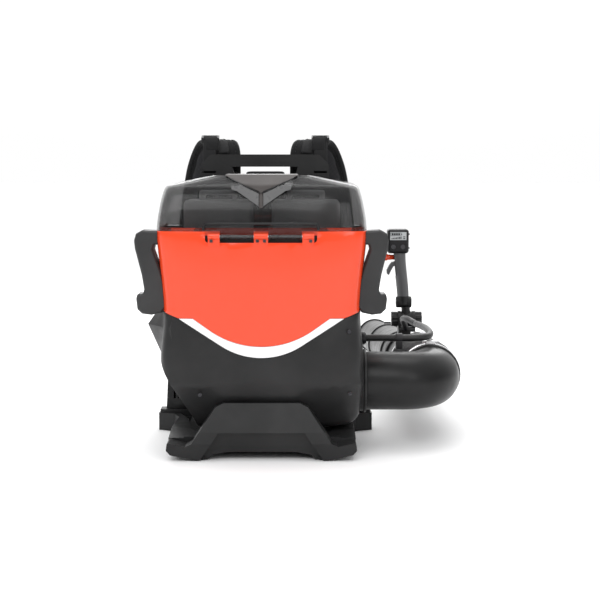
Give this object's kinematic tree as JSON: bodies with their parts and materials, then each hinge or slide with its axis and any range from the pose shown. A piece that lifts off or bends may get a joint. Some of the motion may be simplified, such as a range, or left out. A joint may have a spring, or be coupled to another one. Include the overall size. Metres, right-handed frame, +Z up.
{
  "type": "backpack leaf blower",
  "caption": "Battery backpack blower: housing with smoked battery lid, harness frame, elbow, flexible hose, swivel pipe with control handle and nozzle.",
  "frame": {"origin": "middle of the stand on the floor, under the housing", "axes": "+X wearer's right, +Y forward along the blower pipe, +Z up"},
  "size_m": [0.5808, 1.3167, 0.5595],
  "materials": {
    "orange_gloss": "glossy moulded plastic",
    "housing_black": "satin moulded plastic",
    "frame_black": "textured moulded plastic",
    "white_gloss": "glossy moulded plastic",
    "smoked_clear": "smoked clear plastic, glossy",
    "badge_dark": "satin dark plastic",
    "handle_grey": "soft-touch plastic",
    "grip_grey": "soft-touch plastic",
    "pipe_black": "smooth blow-moulded plastic",
    "hose_black": "ribbed flexible hose",
    "conduit_braid": "braided sleeve",
    "steel_bright": "bright zinc steel",
    "steel_core": "laminated steel",
    "bolt_black": "black oxide steel",
    "rubber_black": "moulded rubber",
    "pad_fabric": "padded woven fabric",
    "webbing": "woven webbing",
    "buckle_black": "moulded buckle plastic",
    "battery_shell": "textured plastic",
    "copper": "plated contact",
    "impeller_grey": "glass-filled plastic",
    "display_glass": "clear display window",
    "button_red": "moulded button",
    "button_dark": "rubber key"
  },
  "bodies": {
    "backpack": {"base_stand": "frame_black", "foot_pads": "rubber_black", "back_frame": "frame_black", "back_pad": "pad_fabric", "shoulder_strap_left": "pad_fabric", "shoulder_strap_right": "pad_fabric", "harness_webbing": "webbing", "strap_buckles": "buckle_black", "hip_belt_left": "pad_fabric", "hip_belt_right": "pad_fabric", "belt_buckle": "buckle_black", "side_handle_left": "handle_grey", "side_handle_right": "handle_grey", "assembly_bolts": "bolt_black", "rear_housing": "housing_black", "upper_shell": "orange_gloss", "trim_strip": "white_gloss", "hinge_rod": "steel_bright", "front_housing": "housing_black", "intake_grille": "frame_black", "fan_case_front": "housing_black", "fan_case_rear": "housing_black", "outlet_collar": "housing_black", "motor_stator": "steel_core", "fan_bearings": "steel_bright", "battery_tray": "housing_black", "battery_terminals": "copper", "controller_module": "steel_core", "frame_bushes": "rubber_black", "elbow": "pipe_black", "hose_clamp_rear": "steel_bright", "hose_rear": "hose_black", "conduit_gland": "buckle_black", "conduit_rear": "conduit_braid"},
    "left_pack": {"battery_left": "battery_shell"},
    "right_pack": {"battery_right": "battery_shell"},
    "lid": {"battery_lid": "smoked_clear", "lid_badge": "badge_dark"},
    "latch": {"lid_latch": "button_red"},
    "fan": {"fan_impeller": "impeller_grey", "drive_shaft": "steel_bright", "motor_rotor": "steel_core", "impeller_nut": "steel_bright"},
    "hose_link": {"hose_middle": "hose_black", "conduit_middle": "conduit_braid"},
    "hose_end": {"hose_front": "hose_black", "hose_clamp_front": "steel_bright"},
    "pipe": {"swivel_pipe": "pipe_black", "pipe_middle": "pipe_black", "nozzle": "pipe_black"},
    "handle_mount": {"handle_bracket": "housing_black", "conduit_front": "conduit_braid"},
    "knobs": {"tilt_knobs": "housing_black"},
    "grip": {"control_grip": "grip_grey", "control_head": "housing_black", "display_window": "display_glass"},
    "thumb_key": {"thumb_button": "button_red"},
    "trigger": {"throttle_trigger": "grip_grey"},
    "power_key": {"power_button": "button_dark"},
    "mode_key": {"mode_button": "button_dark"}
  },
  "joints": [
    {"name": "lid_hinge", "type": "hinge", "parent": "backpack", "child": "lid", "pos_m": [0, -0.1505, 0.385], "axis": [1, 0, 0], "range_deg": [0, 100]},
    {"name": "latch_pivot", "type": "hinge", "parent": "lid", "child": "latch", "pos_m": [0, 0.0695, 0.4085], "axis": [1, 0, 0], "range_deg": [0, 18], "stiffness_Nm_per_rad": 0.15, "springref_deg": -11.46},
    {"name": "left_pack_release", "type": "slide", "parent": "backpack", "child": "left_pack", "axis": [0, 0, 1], "range_m": [0, 0.01]},
    {"name": "right_pack_release", "type": "slide", "parent": "backpack", "child": "right_pack", "axis": [0, 0, 1], "range_m": [0, 0.01]},
    {"name": "fan_spin", "type": "hinge", "parent": "backpack", "child": "fan", "pos_m": [-0.02, -0.04, 0.205], "axis": [0, 1, 0], "continuous": true},
    {"name": "hose_pitch", "type": "hinge", "parent": "backpack", "child": "hose_link", "pos_m": [0.306, 0.1, 0.12], "axis": [1, 0, 0], "range_deg": [-10, 25]},
    {"name": "hose_yaw", "type": "hinge", "parent": "hose_link", "child": "hose_end", "pos_m": [0.30221, 0.19468, 0.11323], "axis": [0, 0, 1], "range_deg": [-20, 20]},
    {"name": "pipe_swivel", "type": "hinge", "parent": "hose_end", "child": "pipe", "pos_m": [0.30042, 0.23953, 0.11003], "axis": [-0.0399, 0.9967, -0.0712], "range_deg": [-60, 60]},
    {"name": "handle_slide", "type": "slide", "parent": "pipe", "child": "handle_mount", "axis": [-0.0399, 0.9967, -0.0712], "range_m": [-0.02, 0.03]},
    {"name": "knob_turn", "type": "hinge", "parent": "handle_mount", "child": "knobs", "pos_m": [0.291, 0.419, 0.177], "axis": [1, 0, 0], "continuous": true},
    {"name": "handle_tilt", "type": "hinge", "parent": "handle_mount", "child": "grip", "pos_m": [0.291, 0.419, 0.177], "axis": [1, 0, 0], "range_deg": [-25, 25]},
    {"name": "thumb_press", "type": "slide", "parent": "grip", "child": "thumb_key", "axis": [1, 0, 0], "range_m": [0, 0.003], "stiffness_N_per_m": 300, "springref_m": -0.001},
    {"name": "trigger_pull", "type": "hinge", "parent": "grip", "child": "trigger", "pos_m": [0.2645, 0.415, 0.2945], "axis": [0, -1, 0], "range_deg": [0, 15], "stiffness_Nm_per_rad": 0.12, "springref_deg": -11.46},
    {"name": "power_press", "type": "slide", "parent": "grip", "child": "power_key", "axis": [0, 1, 0], "range_m": [0, 0.001], "stiffness_N_per_m": 400, "springref_m": -0.0005},
    {"name": "mode_press", "type": "slide", "parent": "grip", "child": "mode_key", "axis": [0, 1, 0], "range_m": [0, 0.001], "stiffness_N_per_m": 400, "springref_m": -0.0005}
  ]
}
